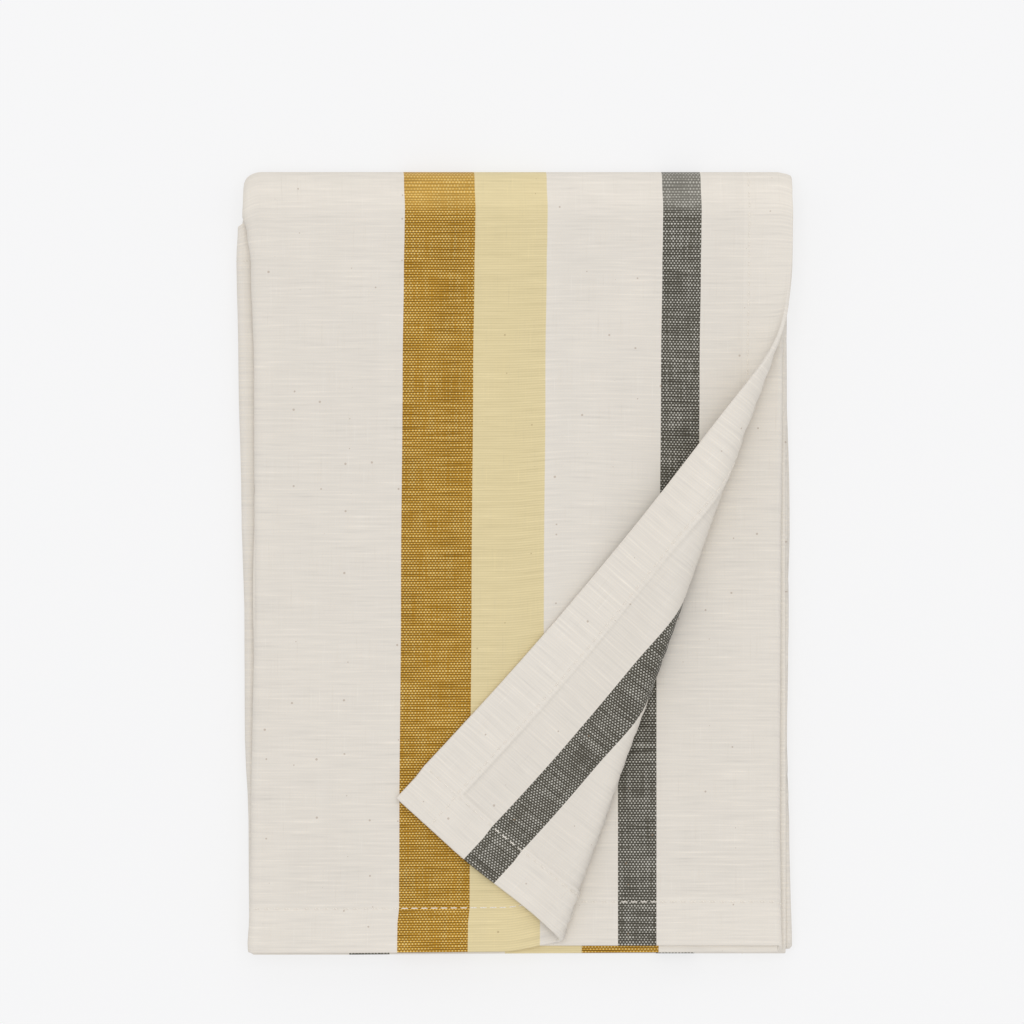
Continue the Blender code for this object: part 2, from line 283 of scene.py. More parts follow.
print("panels start at", [round(s / MM) for s in (0, SECOND_PANEL, THIRD_PANEL)], "mm along the cloth")

# %% [markdown]
# ## The turned-back corner
#
# A corner that is folded back without being pressed keeps a loop in it. The loop is fat in the
# middle, tight at the hemmed end, and closes where it runs off the side. Its section is a curve
# whose direction turns by a little more than half a circle and then eases back to flat, so the flap
# comes down on the towel and rests there. Adding up small steps in that direction gives the curve.
# It is carried along the slanting line that the corner turns over, larger or smaller as a short
# table says.

# %% The roll
ROLL_LINE = (
    # y, x, in mm
    (-119.0, 13.9),
    (-50.0, 41.0),
    (20.0, 66.8),
    (90.0, 91.0),
)
ROLL_SIZES = (
    # y in mm, size of the loop, cloth taken up under the flap in mm
    (-119.0, 0.40, 0.0),
    (-90.0, 0.62, 0.3),
    (-55.0, 0.90, 0.6),
    (20.0, 1.08, 0.8),
    (70.0, 0.95, 0.4),
)
ROLL_HALF_TURN = 10.5 * MM  # half the cloth in the full-size loop
ROLL_OVERTURN = math.radians(22)  # how far past flat the cloth turns before it settles
FLAP_GAP = PITCH + 0.2 * MM  # middle of the flap above the middle of the layer that it lies on
# The cloth that makes the loop, and the least and the most cloth over which the flap settles
PROFILE_START, PROFILE_END, PROFILE_POINTS = -60 * MM, 260 * MM, 6401
SETTLE_LEAST, SETTLE_MOST = 5 * MM, 150 * MM
HALVINGS = 40


def roll_line(y):
    """x of the line that the corner turns over, and its slope dx/dy: a parabola fitted to the rows."""
    rows = np.array(ROLL_LINE) * MM
    curve = np.polyfit(rows[:, 0], rows[:, 1], 2)
    return np.polyval(curve, y), np.polyval(np.polyder(curve), y)


def roll_profile():
    """The loop at full size: distance along the cloth, and the sums of cos and sin of its direction.

    The direction eases from 0 to half a circle plus the overturn, and back by the overturn over a length
    that is found by halving: the one that brings the cloth down to the height it left.
    """
    along = np.linspace(PROFILE_START, PROFILE_END, PROFILE_POINTS)
    step = along[1] - along[0]
    turn = (math.pi + ROLL_OVERTURN) * smooth_step(along, -ROLL_HALF_TURN, ROLL_HALF_TURN)
    short, long = SETTLE_LEAST, SETTLE_MOST
    for _ in range(HALVINGS):
        run = (short + long) / 2
        back = ROLL_OVERTURN * smooth_step(along, ROLL_HALF_TURN, ROLL_HALF_TURN + run)
        short, long = (run, long) if np.sum(np.sin(turn - back)) > 0 else (short, run)
    out = along[0] + np.cumsum(np.cos(turn - back)) * step
    return along, out, np.cumsum(np.sin(turn - back)) * step


PROFILE = roll_profile()
print("the loop is", round(PROFILE[2].max() / MM, 1), "mm high at full size")

# %% Carry the loop along its line
HIDDEN_SHARE = 0.85  # how much of the flap's reach the taken-up cloth is spread over
HIDDEN_END = 2 * MM  # it ends this far before the line
LEAST_REACH = 8 * MM  # of the flap
FOOT_TRIES = 12  # each try brings the foot of the perpendicular closer


def rolled(x, y):
    """Where points of the flat top layer go when the corner is turned back, and how far they rise.

    Each point is dropped square onto the line. How far it lies beyond the line is read as a length of
    cloth round the loop, and it goes as far out and up from the foot of its perpendicular as that says.
    """
    foot = y.copy()
    for _ in range(FOOT_TRIES):
        line_x, slope = roll_line(foot)
        foot = y + (x - line_x) * slope
    line_x, slope = roll_line(foot)
    across = np.hypot(1, slope)
    normal_x, normal_y = 1 / across, -slope / across
    beyond = (x - line_x) * normal_x + (y - foot) * normal_y
    size = eased(ROLL_SIZES, 1, foot) / MM
    slip = eased(ROLL_SIZES, 2, foot)
    along, out, high = PROFILE
    # A sharp fold that lays the flap in the same place would be this far along the loop
    sharp = (along[-1] + out[-1]) / 2
    corner_x = eased(SIDE_LINES, FREE_EDGE, np.clip(y - FRONT_Y, 0, None))
    flap_reach = np.maximum((corner_x - line_x) * across / (1 + slope**2), LEAST_REACH)
    hidden = smooth_step(beyond, -HIDDEN_SHARE * flap_reach, -HIDDEN_END)
    cloth = beyond + size * sharp + slip * (1 - 2 * hidden)
    reach = size * np.interp(cloth / size, along, out) - size * sharp - slip
    rise = size * np.interp(cloth / size, along, high)
    # The gap under the flap opens on the way round the loop
    rise = rise + FLAP_GAP * smooth_step(cloth / size, -0.5 * ROLL_HALF_TURN, ROLL_HALF_TURN)
    flat = cloth / size < along[0]
    reach = np.where(flat, beyond, reach)
    return line_x + reach * normal_x, foot + reach * normal_y, np.where(flat, 0, rise)


corner = rolled(eased(SIDE_LINES, FREE_EDGE, np.zeros(1)), np.array([FRONT_Y]))
print("the corner turns back to", [round(float(c[0]) / MM, 1) for c in corner])

# %% [markdown]
# ## Uneven heights
#
# A pile of cloth is never level. It stands a little thicker beside its fat fold, and its surface
# waves softly. All layers share these waves, because each lies on the one below.

# %% One function for the whole towel
PLUMP = 0.09  # how much thicker the pile is beside its top fold
PLUMP_RUN, PLUMP_END = 48 * MM, 14 * MM
SHOULDER = 0.10  # how much lower it is again where it rounds into that fold
SHOULDER_START, SHOULDER_END = -12 * MM, 6 * MM  # from the fold's centre
WAVE = 0.022  # unevenness of the pile, as a share of its height
WAVE_ACROSS, WAVE_ALONG, WAVE_SLANTED = 27 * MM, 39 * MM, 53 * MM
WAVE_START, WAVE_SLANT = 1.1, 1.6
ROLL_FADES, ROLL_GONE = 25 * MM, 5 * MM  # before the top fold the roll fades out between these
NEAR = 0.25 * MM  # how far off the neighbours are that a point's direction is taken from


def uneven(x, y):
    """How much the pile stands above its pressed height: more beside the top fold, and in soft waves."""
    fold = PLUMP * smooth_step(y, TOP_FOLD_Y - PLUMP_RUN, TOP_FOLD_Y - PLUMP_END)
    shoulder = SHOULDER * smooth_step(y, TOP_FOLD_Y + SHOULDER_START, TOP_FOLD_Y + SHOULDER_END)
    crossed = np.sin(x / WAVE_ACROSS + WAVE_START) * np.cos(y / WAVE_ALONG)
    slanted = np.sin((x + WAVE_SLANT * y) / WAVE_SLANTED)
    return 1 + fold - shoulder + WAVE * (2 + crossed + slanted)


def cloth_middle(across, along):
    """Points on the middle of the folded cloth: folded across, then along, then rolled back."""
    x, offset = folded_across(across, along)
    y, z = folded_along(along, x, offset)
    turned_x, turned_y, rise = rolled(x, y)
    # Only the top layer of the top packet is rolled
    top = (offset > 0.999 * PITCH) & (along <= TOP_BEND)
    blend = top * (1 - smooth_step(along, TOP_BEND - ROLL_FADES, TOP_BEND - ROLL_GONE))
    x = x + blend * (turned_x - x)
    y = y + blend * (turned_y - y)
    z = z * uneven(x, y) + blend * rise + THICKNESS / 2
    return np.stack((x, y, z), axis=-1)


def cloth_normal(across, along):
    """The way that the right side faces: square to the steps between a point's near neighbours."""
    over = cloth_middle(across + NEAR, along) - cloth_middle(across - NEAR, along)
    up = cloth_middle(across, along + NEAR) - cloth_middle(across, along - NEAR)
    normal = np.cross(up, over)
    return normal / np.linalg.norm(normal, axis=-1, keepdims=True)


# %% [markdown]
# ## Hems
#
# The edge of the cloth is turned in twice and sewn down, so a hem is three layers thick. That shows
# on the wrong side as a step, and on the right side only as a row of stitches that pulls the cloth
# in a little. Both are made by moving the two sides of the sheet a little nearer to its middle or
# further from it.

# %% Thickness of the cloth, side by side
SIDE_HEM = 15.0 * MM
END_HEM = 15.2 * MM
STITCH_IN = 1.7 * MM  # the stitches run this far inside the hem's inner edge
HEM_EXTRA = 0.36 * MM  # less than in real hems, so that it fits between the layers of the pile
HEM_STEP = 0.25 * MM  # the run over which the hem's edge drops to the single cloth
EDGE_ROUND = 0.5 * MM
EDGE_LEAST = 0.35  # how thick the rim itself is, as a share of the cloth
STITCH_DIP = 0.09 * MM  # how deep the stitches pull each side in
STITCH_DIP_WIDTH = 0.9 * MM


def edge_distances(across, along):
    """How far a point lies from the nearer side edge and from the nearer end."""
    return np.minimum(across, CLOTH_WIDTH - across), np.minimum(along, CLOTH_LENGTH - along)


def half_thickness(across, along, wrong_side):
    """Half the cloth, plus the hem on the wrong side, less the stitched dip, and rounded at the edge.

    The round is a quarter circle: the square root of 1 - (1 - s)^2 of the share s of the way in.
    """
    side, end = edge_distances(across, along)
    inside = np.maximum(SIDE_HEM - side, END_HEM - end)
    half = THICKNESS / 2 + wrong_side * HEM_EXTRA * smooth_step(inside, 0, HEM_STEP)
    stitched = np.minimum(np.abs(side - SIDE_HEM + STITCH_IN), np.abs(end - END_HEM + STITCH_IN))
    half = half - STITCH_DIP * (1 - smooth_step(stitched, 0, STITCH_DIP_WIDTH))
    edge = np.clip(np.minimum(side, end) / EDGE_ROUND, 0, 1)
    return half * (EDGE_LEAST + (1 - EDGE_LEAST) * np.sqrt(1 - (1 - edge) ** 2))


hem_thickness = THICKNESS + HEM_EXTRA
print("hem", round(hem_thickness / MM, 2), "mm thick, single cloth", round(THICKNESS / MM, 2), "mm")

# %% [markdown]
# ## The sheet
#
# A grid of points covers the flat cloth, closer together where it bends, at the hems and round the
# roll. The same grid makes the right side and the wrong side, and a strip of faces round the rim
# closes them into one solid sheet. Its UV map holds the flat cloth in metres, so a weave drawn on
# it bends with the cloth.

# %% Where the grid lines run
LEAST_GAP = 0.02  # in mm: of two lines that are nearer than this, only one is kept
EDGE_LINES = (0, 0.08, 0.25, 0.5, 1.5, 4, 6.5, 9)  # in mm from an edge
DIP_LINES = (-0.9, -0.45, 0, 0.45, 0.9)  # in mm from a row of stitches
COLUMN_RUNS = (
    # from, to and spacing, in mm: the roll (two runs), the left fold, flat, the right fold, flat
    (16.2, 30, 1.9),
    (30, 160, 2.15),
    (160, 172, 0.65),
    (172, 323, 6),
    (323, 341, 0.62),
    (341, 469, 6.5),
)
ROW_RUNS = (
    # from, to and spacing, in mm: the roll, the top fold (three runs), flat, the bottom fold, flat
    (16.4, 206, 2.1),
    (206, 228, 1.5),
    (228, 251, 1.0),
    (251, 270, 2),
    (270, 470, 8),
    (470, 486, 1.1),
    (486, 688, 8),
)


def stations(runs):
    """Grid lines from runs of (start, end, spacing) in mm, cut into equal steps, with no line twice."""
    lines = [np.linspace(a, b, max(1, round((b - a) / spacing)) + 1) for a, b, spacing in runs]
    lines = np.unique(np.round(np.concatenate(lines), 4))
    return lines[np.concatenate(([True], np.diff(lines) > LEAST_GAP))] * MM


def hem_lines(edge, inward, hem):
    """Grid lines, in mm, for the round of an edge, its stitch row and the step of its hem."""
    stitched = [hem - STITCH_IN / MM + step for step in DIP_LINES]
    places = (*EDGE_LINES, *stitched, hem - HEM_STEP / MM, hem)
    return [edge + inward * place for place in places]


width, length = CLOTH_WIDTH / MM, CLOTH_LENGTH / MM
side_lines = hem_lines(0, 1, SIDE_HEM / MM) + hem_lines(width, -1, SIDE_HEM / MM)
end_lines = hem_lines(0, 1, END_HEM / MM) + hem_lines(length, -1, END_HEM / MM)
columns = np.unique(np.concatenate((np.array(side_lines) * MM, stations(COLUMN_RUNS))))
rows = np.unique(np.concatenate((np.array(end_lines) * MM, stations(ROW_RUNS))))
print("grid:", len(columns), "x", len(rows), "lines,", 4 * len(columns) * len(rows), "triangles")

# %% Build the sheet


def grid_faces(grid):
    """A face between each four neighbours in a grid of vertex numbers."""
    corners = (grid[:-1, :-1], grid[1:, :-1], grid[1:, 1:], grid[:-1, 1:])
    return np.stack(corners, axis=-1).reshape(-1, 4)


def closed_sheet(right, wrong):
    """Vertices and faces of the solid between two grids of points, with a wall round their rim."""
    wide, long = right.shape[:2]
    index = np.arange(wide * long).reshape(wide, long)
    other = index + wide * long
    rim = np.concatenate((index[:, 0], index[-1, 1:], index[-2::-1, -1], index[0, -2:0:-1]))
    after = np.roll(rim, -1)
    walls = np.stack((rim, rim + wide * long, after + wide * long, after), axis=-1)
    faces = np.concatenate((grid_faces(index), grid_faces(other)[:, ::-1], walls))
    return np.concatenate((right.reshape(-1, 3), wrong.reshape(-1, 3))), faces


def outward(vertices, faces):
    """The faces, turned round if they enclose a negative volume, summed over both triangles of each."""
    a, b, c, d = (vertices[faces[:, k]] for k in range(4))
    volume = np.sum(np.cross(a, b) * c) + np.sum(np.cross(a, c) * d)
    return faces if volume > 0 else faces[:, ::-1]


def mesh_object(name, vertices, faces, uv=None):
    """An object at the origin, shaded smooth, with one UV for each vertex in a map called cloth."""
    mesh = bpy.data.meshes.new(name)
    mesh.from_pydata(vertices.tolist(), [], faces.tolist())
    mesh.update()
    mesh.shade_smooth()
    if uv is not None:
        corner_vertex = np.empty(len(mesh.loops), np.int32)
        mesh.loops.foreach_get("vertex_index", corner_vertex)
        corner_uv = uv[corner_vertex].astype(np.float32)
        mesh.uv_layers.new(name="cloth").data.foreach_set("uv", corner_uv.ravel())
    piece = bpy.data.objects.new(name, mesh)
    bpy.context.scene.collection.objects.link(piece)
    return piece


across, along = np.meshgrid(columns, rows, indexing="ij")
middle = cloth_middle(across, along)
normal = cloth_normal(across, along)
right_side = middle + normal * half_thickness(across, along, 0)[..., None]
wrong_side = middle - normal * half_thickness(across, along, 1)[..., None]
vertices, faces = closed_sheet(right_side, wrong_side)
low, high = vertices.min(axis=0), vertices.max(axis=0)
# The middle of the sheet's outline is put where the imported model's is
CENTRE = np.array([*((low + high) / 2)[:2], 0]) - np.array([*((cad_low + cad_high) / 2)[:2], 0])
vertices = vertices - CENTRE
flat = np.stack((yarn_place(across, along), along), axis=-1).reshape(-1, 2)
towel = mesh_object("towel_cloth", vertices, outward(vertices, faces), np.tile(flat, (2, 1)))
print("towel in mm:", np.round((high - low) / MM, 1), "centre moved by", np.round(CENTRE / MM, 2))

# %% [markdown]
# ## Stitches
#
# A lockstitch looks the same on both sides: short runs of thread that dip into the cloth at every
# needle hole. Each stitch here is a small tube along an arch that starts and ends below the
# surface. One stitch is worked out for all rows at once, on the same function that folds the cloth,
# so the stitches go round every fold.

# %% Sew the hems
STITCH_PITCH = 3.0 * MM
STITCH_SHARE = 0.86  # the part of the pitch that lies on top
ROW_START = 1.2 * MM  # the first needle hole, from the edge
THREAD = 0.36 * MM  # its thickness
THREAD_SIDES = 6
THREAD_STEPS = 6
STITCH_SINK = 0.22 * MM  # how deep the thread's middle lies at a needle hole
STITCH_ARCH, ARCH_POWER = 0.30 * MM, 0.6
TAPER_LEAST, TAPER_POWER = 0.55, 0.5


def stitch_row(start, end):
    """Centres and steps of the stitches between two points of the flat cloth, as (across, along)."""
    start, end = np.array(start), np.array(end)
    reach = np.linalg.norm(end - start)
    count = int(reach // STITCH_PITCH)
    centres = start + (end - start) * ((np.arange(count) + 0.5) / count)[:, None]
    return centres, np.tile((end - start) / count, (count, 1))


def hem_rows():
    """The four rows: two up the sides and two across the ends, each the same distance inside its hem."""
    side, end = SIDE_HEM - STITCH_IN, END_HEM - STITCH_IN
    last_across, last_along = CLOTH_WIDTH - ROW_START, CLOTH_LENGTH - ROW_START
    sewn = [stitch_row((x, ROW_START), (x, last_along)) for x in (side, CLOTH_WIDTH - side)]
    sewn += [stitch_row((ROW_START, y), (last_across, y)) for y in (end, CLOTH_LENGTH - end)]
    return np.concatenate([row[0] for row in sewn]), np.concatenate([row[1] for row in sewn])


def stitch_tubes(side_sign):
    """Tubes for every stitch on one side of the cloth: +1 is the right side and -1 the wrong side.

    The thread's middle follows the flat cloth between two needle holes. Its height over the surface is
    an arch, a power of sin(pi t), less what it sinks at the holes. Round it lies a circle of the
    thread's radius, which is smaller at the holes. On the wrong side a stitch lies half a gap further on.
    """
    centres, steps = hem_rows()
    t = np.linspace(0, 1, THREAD_STEPS + 1)
    shift = (t - 0.5) * STITCH_SHARE + (0.5 if side_sign < 0 else 0) * (1 - STITCH_SHARE)
    flat = centres[:, None] + steps[:, None] * shift[None, :, None]
    across, along = flat[..., 0], flat[..., 1]
    outward_way = cloth_normal(across, along) * side_sign
    arch = STITCH_ARCH * np.sin(math.pi * t) ** ARCH_POWER
    lift = half_thickness(across, along, side_sign < 0) - STITCH_SINK + arch
    line = cloth_middle(across, along) + outward_way * lift[..., None] - CENTRE
    ahead = np.gradient(line, axis=1)
    ahead /= np.linalg.norm(ahead, axis=-1, keepdims=True)
    sideways = np.cross(ahead, outward_way)
    turn = np.linspace(0, 2 * math.pi, THREAD_SIDES, endpoint=False)
    ring = np.cos(turn)[:, None] * sideways[:, :, None] + np.sin(turn)[:, None] * outward_way[:, :, None]
    radius = THREAD / 2 * (TAPER_LEAST + (1 - TAPER_LEAST) * np.sin(math.pi * t) ** TAPER_POWER)
    return line[:, :, None] + ring * radius[None, :, None, None]


def tube_faces(count, steps, sides):
    """Faces of `count` closed tubes, each of `steps` rings of six vertices.

    The walls are quads. The hexagon at each end is two quads, which share the corners 3 and 0.
    """
    index = np.arange(count * steps * sides).reshape(count, steps, sides)
    after = np.roll(index, -1, axis=2)
    walls = np.stack((index[:, :-1], after[:, :-1], after[:, 1:], index[:, 1:]), axis=-1)
    ends = [index[:, 0, ::-1], index[:, -1]]
    caps = [np.concatenate((end[:, :4], end[:, [3, 4, 5, 0]])) for end in ends]
    return np.concatenate((walls.reshape(-1, 4), *caps))


tubes = np.concatenate((stitch_tubes(1), stitch_tubes(-1)))
thread_points = tubes.reshape(-1, 3)
thread_faces = outward(thread_points, tube_faces(*tubes.shape[:3]))
hem_stitches = mesh_object("hem_stitches", thread_points, thread_faces)
print(len(tubes), "stitches of", len(thread_faces) // len(tubes), "faces each")

# %% [markdown]
# ## Materials
#
# The cloth is plain-woven cotton. Its lengthways yarns, the warp, are dyed before weaving, and its
# crossways yarns, the weft, are all natural. So a stripe is never solid: the weft shows through it
# as rows of pale dots, half a step apart from row to row. That is the product of two sine waves,
# one across the warp and one across the weft: where it is above zero the warp is on top, and where
# it is below zero the weft is.

# %% Colour and node helpers
SMOOTH = {"interpolation_type": "SMOOTHSTEP"}


def linear(hex_colour):
    """A shader colour from an sRGB hex colour, by the sRGB curve."""
    parts = [int(hex_colour[k : k + 2], 16) / 255 for k in (0, 2, 4)]
    return (*(p / 12.92 if p <= 0.04045 else ((p + 0.055) / 1.055) ** 2.4 for p in parts), 1)


def add(tree, kind, *values, **named):
    """Adds a node with its settings and links, and returns it.

    The values go to the inputs in use, in order. A name with a capital letter is an input, and any other
    name is a setting. A value may be a node, and then it is the first output in use of that node.
    """
    node = tree.nodes.new("ShaderNode" + kind)
    for name, value in named.items():
        if name[0].islower():
            setattr(node, name, value)
    pairs = [*zip((socket for socket in node.inputs if socket.enabled), values)]
    pairs += [(node.inputs[name], value) for name, value in named.items() if name[0].isupper()]
    for socket, value in pairs:
        if isinstance(value, bpy.types.Node):
            value = next(output for output in value.outputs if output.enabled)
        if isinstance(value, bpy.types.NodeSocket):
            tree.links.new(value, socket)
        else:
            socket.default_value = value
    return node


def new_material(name):
    """A material that uses nodes, and its node tree and shader."""
    material = bpy.data.materials.new(name)
    material.use_nodes = True
    return material, material.node_tree, material.node_tree.nodes["Principled BSDF"]


print("the sRGB grey 808080 is", round(linear("808080")[0], 3), "in linear light")

# %% [markdown]
# ### The stripes
#
# The dye plan is a list of stripes, measured from the free edge. It repeats three times across the
# cloth, once for each third, as each third is folded over the next. A colour ramp would be the
# short way to draw it, but Blender reads a ramp as 256 steps, and a step of 2 mm would show. A
# Compare node has no steps: it gives 1 within half a stripe's width of the stripe's middle.

# %% The dye plan
WARP_PITCH = 0.49 * MM
WEFT_PITCH = 0.75 * MM
NATURAL = "DED8CD"
WEFT_COLOUR = "E1D9CB"
DYES = {
    # from and to, in mm from the free edge, in each third
    "grey": ((28.1, 39.5), (195.9, 208.4), (366.7, 378.3)),
    "yellow": ((75.1, 96.9), (243.7, 266.9), (413.5, 435.3)),
    "mustard": ((96.9, 118.4), (266.9, 290.6), (435.3, 457.7)),
}
DYE_COLOURS = {"grey": "656155", "yellow": "DECE9F", "mustard": "C08E2A"}
# Light reaches the weft off the dyed yarns beside it, so its dots take some of their colour
DOT_COLOURS = {"grey": "DEDBD0", "yellow": "DECFA4", "mustard": "F7DA8C"}
DOT_CONTRAST = {"grey": 1.0, "yellow": 0.12, "mustard": 1.0}


def dyed(tree, place, stripes):
    """1 where `place` is on one of the stripes, and 0 elsewhere: the sum of a Compare node for each."""
    total = 0.0
    for start, end in stripes:
        middle, half = (start + end) / 2 * MM, (end - start) / 2 * MM
        on = add(tree, "Math", place, middle, half, operation="COMPARE")
        total = add(tree, "Math", on, total, operation="ADD")
    return total


def dye_colours(tree, u):
    """The warp's colour, the colour of the dots of weft on it, and how much the two contrast."""
    # The stripes end on whole yarns
    yarns = add(tree, "Math", u, WARP_PITCH, operation="DIVIDE")
    whole = add(tree, "Math", yarns, operation="FLOOR")
    middle = add(tree, "Math", whole, 0.5, operation="ADD")
    place = add(tree, "Math", middle, WARP_PITCH, operation="MULTIPLY")
    colour, dot_colour, contrast = linear(NATURAL), linear(WEFT_COLOUR), 0.0
    for name, stripes in DYES.items():
        share = dyed(tree, place, stripes)
        colour = add(tree, "Mix", share, colour, linear(DYE_COLOURS[name]), data_type="RGBA")
        dot_colour = add(tree, "Mix", share, dot_colour, linear(DOT_COLOURS[name]), data_type="RGBA")
        part = add(tree, "Math", share, DOT_CONTRAST[name], operation="MULTIPLY")
        contrast = add(tree, "Math", part, contrast, operation="ADD")
    return colour, dot_colour, contrast


print("thirds repeat every", round(DYES["grey"][1][0] - DYES["grey"][0][0], 1), "mm")

# %% [markdown]
# ### The weave and its flaws
#
# Hand-spun-looking cotton has slubs, thick places that run a few centimetres along a yarn and catch
# the light, and now and then a speck of seed. Noise stretched along the yarns gives the slubs, and
# wider noise gives the cloth its soft streaks. The yarns are drawn at their true spacing, 0.49 by
# 0.75 mm, and the weave is the product of the two waves.

# %% Weave, slubs and specks
SLUB_LENGTH = 14 * MM
SPECK_CELL = 8 * MM
SPECK_LUCK, SPECK_SIZE = 0.66, 0.046  # the share of cells without a speck, and the largest, in cells


def plain_weave(tree, u, v):
    """The product of a wave across the warp and one across the weft, and how near a row of weft is."""
    warp_turn = add(tree, "Math", u, math.pi / WARP_PITCH, operation="MULTIPLY")
    warp_wave = add(tree, "Math", warp_turn, operation="SINE")
    weft_turn = add(tree, "Math", v, math.pi / WEFT_PITCH, operation="MULTIPLY")
    weft_wave = add(tree, "Math", weft_turn, operation="SINE")
    over = add(tree, "Math", warp_wave, weft_wave, operation="MULTIPLY")
    return over, add(tree, "Math", weft_wave, operation="ABSOLUTE")


def yarn_noise(tree, u, v, length_u, length_v):
    """Noise about zero whose grains are length_u across and length_v along the cloth."""
    x = add(tree, "Math", u, length_u, operation="DIVIDE")
    y = add(tree, "Math", v, length_v, operation="DIVIDE")
    place = add(tree, "CombineXYZ", X=x, Y=y)
    noise = add(tree, "TexNoise", Vector=place, Scale=1.0, Detail=2.0)
    return add(tree, "Math", noise.outputs["Fac"], 0.5, operation="SUBTRACT")


def hem_mask(tree, u, v):
    """1 on the hems, where three layers of cloth let less light through."""
    masks = []
    for place, size, hem in ((u, CLOTH_WIDTH, SIDE_HEM), (v, CLOTH_LENGTH, END_HEM)):
        other = add(tree, "Math", size, place, operation="SUBTRACT")
        nearer = add(tree, "Math", place, other, operation="MINIMUM")
        masks.append(add(tree, "MapRange", nearer, hem - HEM_STEP, hem, 1.0, 0.0, **SMOOTH))
    return add(tree, "Math", *masks, operation="MAXIMUM")


def seed_specks(tree, place):
    """1 on a brown speck of seed: a small spot at the point of some cells of a Voronoi pattern."""
    scaled = add(tree, "VectorMath", place, 1 / SPECK_CELL, operation="SCALE")
    spots = add(tree, "TexVoronoi", voronoi_dimensions="2D", Vector=scaled, Scale=1.0)
    luck = add(tree, "SeparateColor", spots.outputs["Color"])
    size = add(tree, "MapRange", luck, SPECK_LUCK, 1.0, 0.0, SPECK_SIZE)
    return add(tree, "Math", spots.outputs["Distance"], size, operation="LESS_THAN")


print("a slub is", round(SLUB_LENGTH / WARP_PITCH), "warp yarns long")

# %% [markdown]
# ### The woven cotton
#
# Woven cotton is rough, with a soft sheen from its fuzz, and its Principled shader says so. The
# colour is worked out in layers: the warp's dye, the dots of weft on it, painted shade in the gaps
# between round yarns, the streaks, lighter hems, a painted highlight on the top fold, and last the
# specks. A little bump follows the yarns, but most of the weave is seen by its colours.

# %% Woven cotton
SLUB_SWELL = 1.9  # how much a slub changes the size of the dots
SLUB_HEIGHT = 2.0  # in heights of a yarn
YARN_HEIGHT = 0.12 * MM
YARN_BUMP = 0.3
NATURAL_BUMP = 0.15  # the share of the bump on the undyed cloth, whose yarns stand out less
DOT_SHARE = 0.8  # how much of the natural weft shows in the middle of a dot
DOT_FULL, DOT_NONE = -0.9, -0.15  # the weave's wave in the middle and at the rim of a dot
GAP_SHADE_DYED, GAP_SHADE_NATURAL = 0.85, 0.015  # how dark the painted shade in the gaps between the yarns is
HEM_LIGHT, FOLD_HIGHLIGHT = 0.03, 0.05  # how much lighter the hems are, and how much the painted highlight lightens the top fold
# The painted highlight on the top fold: how much it pales and blurs the weave, and how it fades
HIGHLIGHT_PALER, HIGHLIGHT_BLUR = 0.2, 0.4
HIGHLIGHT_FADE, HIGHLIGHT_NEAR = 9 * MM, 2 * MM
SPECK_COLOUR, SPECK_SHARE = "8A6A48", 0.4
STREAKS = (
    # grain across, grain along, depth, power of the noise
    (SLUB_LENGTH, WEFT_PITCH, 3.0, 3),
    (SLUB_LENGTH, WEFT_PITCH, 0.14, 1),
    (35 * MM, WEFT_PITCH, 0.1, 1),
    (WARP_PITCH, SLUB_LENGTH, 3.0, 3),
    (9 * MM, 190 * MM, 0.06, 1),
    (60 * MM, 45 * MM, 0.05, 1),
)


def painted_fold_highlight(tree, v):
    """1 on the top fold, and less towards both sides of it: where the painted highlight goes."""
    rising = add(tree, "MapRange", v, TOP_BEND - HIGHLIGHT_FADE, TOP_BEND - HIGHLIGHT_NEAR, 0.0, 1.0, **SMOOTH)
    falling = add(tree, "MapRange", v, SECOND_PANEL, SECOND_PANEL + HIGHLIGHT_FADE, 1.0, 0.0, **SMOOTH)
    return add(tree, "Math", rising, falling, operation="MULTIPLY")


def all_streaks(tree, u, v):
    """The sum of the streaks, each the noise to its power, times its depth."""
    total = 0.0
    for length_u, length_v, depth, power in STREAKS:
        noise = yarn_noise(tree, u, v, length_u, length_v)
        streak = add(tree, "Math", noise, power, operation="POWER")
        part = add(tree, "Math", streak, depth, operation="MULTIPLY")
        total = add(tree, "Math", total, part, operation="ADD")
    return total


def lightness(tree, u, v, row, contrast, sharp, fold_highlight):
    """How much lighter or darker than its colours the cloth is: painted shade in the gaps between
    the yarns, streaks, the hems, and a painted highlight on the top fold.
    """
    # Painted shade: round yarns are drawn light on top and dark in the gaps between the rows of weft
    dyed_gap_shade = add(tree, "Math", contrast, GAP_SHADE_DYED, operation="MULTIPLY")
    gap = add(tree, "Math", dyed_gap_shade, GAP_SHADE_NATURAL, operation="ADD")
    darker = add(tree, "Math", gap, -1, operation="MULTIPLY")
    deep = add(tree, "Math", darker, sharp, operation="MULTIPLY")
    off_row = add(tree, "Math", 1.0, row, operation="SUBTRACT")
    light = add(tree, "Math", off_row, deep, operation="MULTIPLY")
    # A slub stands out more where the yarns differ in colour
    stronger = add(tree, "Math", contrast, 1.0, operation="ADD")
    streaks = add(tree, "Math", all_streaks(tree, u, v), stronger, operation="MULTIPLY")
    light = add(tree, "Math", light, streaks, operation="ADD")
    # The hems, and the painted highlight on the top fold, are drawn lighter
    for mask, share in ((hem_mask(tree, u, v), HEM_LIGHT), (fold_highlight, FOLD_HIGHLIGHT)):
        lighter = add(tree, "Math", mask, share, operation="MULTIPLY")
        light = add(tree, "Math", light, lighter, operation="ADD")
    return add(tree, "Math", light, 1.0, operation="ADD")


